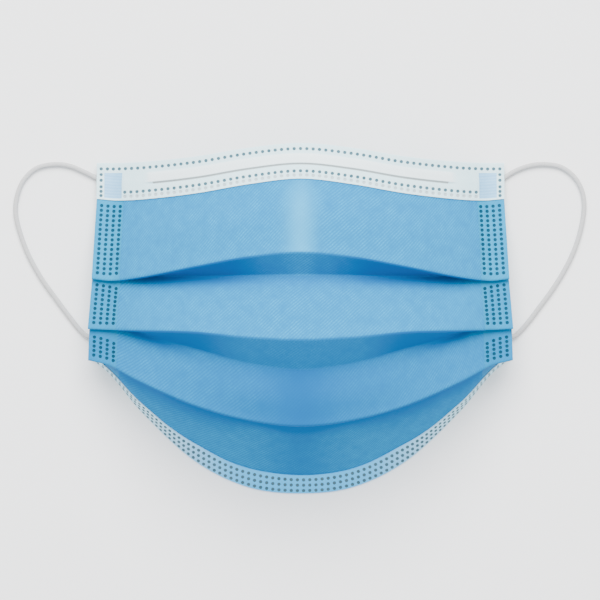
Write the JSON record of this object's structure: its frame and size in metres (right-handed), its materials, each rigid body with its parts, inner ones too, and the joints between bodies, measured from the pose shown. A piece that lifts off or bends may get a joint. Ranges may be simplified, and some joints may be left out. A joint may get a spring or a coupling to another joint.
{
  "type": "surgical face mask",
  "caption": "Pleated disposable face mask, opened to its wearing shape and lying face up, with bound nose and chin edges, an inner nose wire and round elastic ear loops.",
  "frame": {"origin": "on the surface the mask lies on, under the middle of its bounding box without the ear loops", "axes": "+X to the right in a front view, +Y towards the nose edge, +Z out of the mask's front, away from the wearer's face"},
  "size_m": [0.2005, 0.1224, 0.0566],
  "materials": {
    "blue_cloth": "matte spunbond non-woven, sky blue outside",
    "white_cloth": "matte spunbond non-woven, white",
    "nose_wire": "white plastic-coated flat wire",
    "loop_elastic": "soft knitted elastic, off-white"
  },
  "bodies": {
    "root": {"mask_body": "blue_cloth", "top_binding": "white_cloth", "nose_wire": "nose_wire", "bottom_binding": "white_cloth", "ear_loop_left": "loop_elastic", "ear_loop_right": "loop_elastic", "loop_anchor_top_left": "loop_elastic", "loop_anchor_top_right": "loop_elastic", "loop_anchor_bottom_left": "loop_elastic", "loop_anchor_bottom_right": "loop_elastic"}
  },
  "joints": []
}
